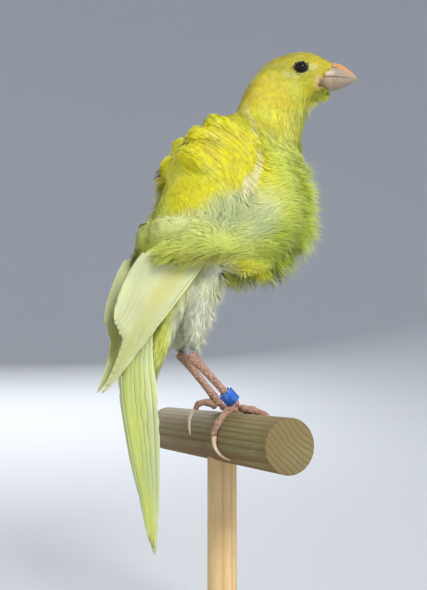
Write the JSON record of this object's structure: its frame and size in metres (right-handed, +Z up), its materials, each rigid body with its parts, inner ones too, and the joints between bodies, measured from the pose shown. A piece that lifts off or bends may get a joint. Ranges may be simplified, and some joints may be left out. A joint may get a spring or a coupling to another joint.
{
  "type": "canary",
  "caption": "Life-size still model of an upright frilled canary gripping a short dowel perch on a round wooden stand.",
  "frame": {"origin": "centre of the underside of the round stand base", "axes": "+Z up; the bird faces +X, its right side is on -Y and the perch runs along Y"},
  "size_m": [0.0858, 0.085, 0.1908],
  "materials": {
    "feather_yellow": "soft matte plumage",
    "feather_flight": "smooth satin plumage",
    "feather_white": "fluffy matte plumage",
    "eye": "glossy",
    "horn": "smooth satin horn",
    "leg_skin": "fine scaly skin",
    "ring_metal": "blue anodised satin",
    "dowel_wood": "sawn, weathered",
    "pine_wood": "planed, bare"
  },
  "bodies": {
    "root": {"bill_lower": "horn", "bill_upper": "horn", "claw_left_1": "horn", "claw_left_2": "horn", "claw_left_3": "horn", "claw_left_4": "horn", "claw_right_1": "horn", "claw_right_2": "horn", "claw_right_3": "horn", "claw_right_4": "horn", "eye_left": "eye", "eye_right": "eye", "fin_left": "feather_yellow", "fin_right": "feather_yellow", "head": "feather_yellow", "jabot": "feather_yellow", "leg_left": "leg_skin", "leg_right": "leg_skin", "leg_ring": "ring_metal", "mantle_left": "feather_yellow", "mantle_right": "feather_yellow", "neck": "feather_yellow", "perch": "dowel_wood", "stand_base": "pine_wood", "stand_post": "pine_wood", "tail": "feather_flight", "thigh_left": "feather_white", "thigh_right": "feather_white", "toe_left_1": "leg_skin", "toe_left_2": "leg_skin", "toe_left_3": "leg_skin", "toe_left_4": "leg_skin", "toe_right_1": "leg_skin", "toe_right_2": "leg_skin", "toe_right_3": "leg_skin", "toe_right_4": "leg_skin", "torso": "feather_yellow", "vent": "feather_white", "wing_left": "feather_flight", "wing_right": "feather_flight"}
  },
  "joints": []
}
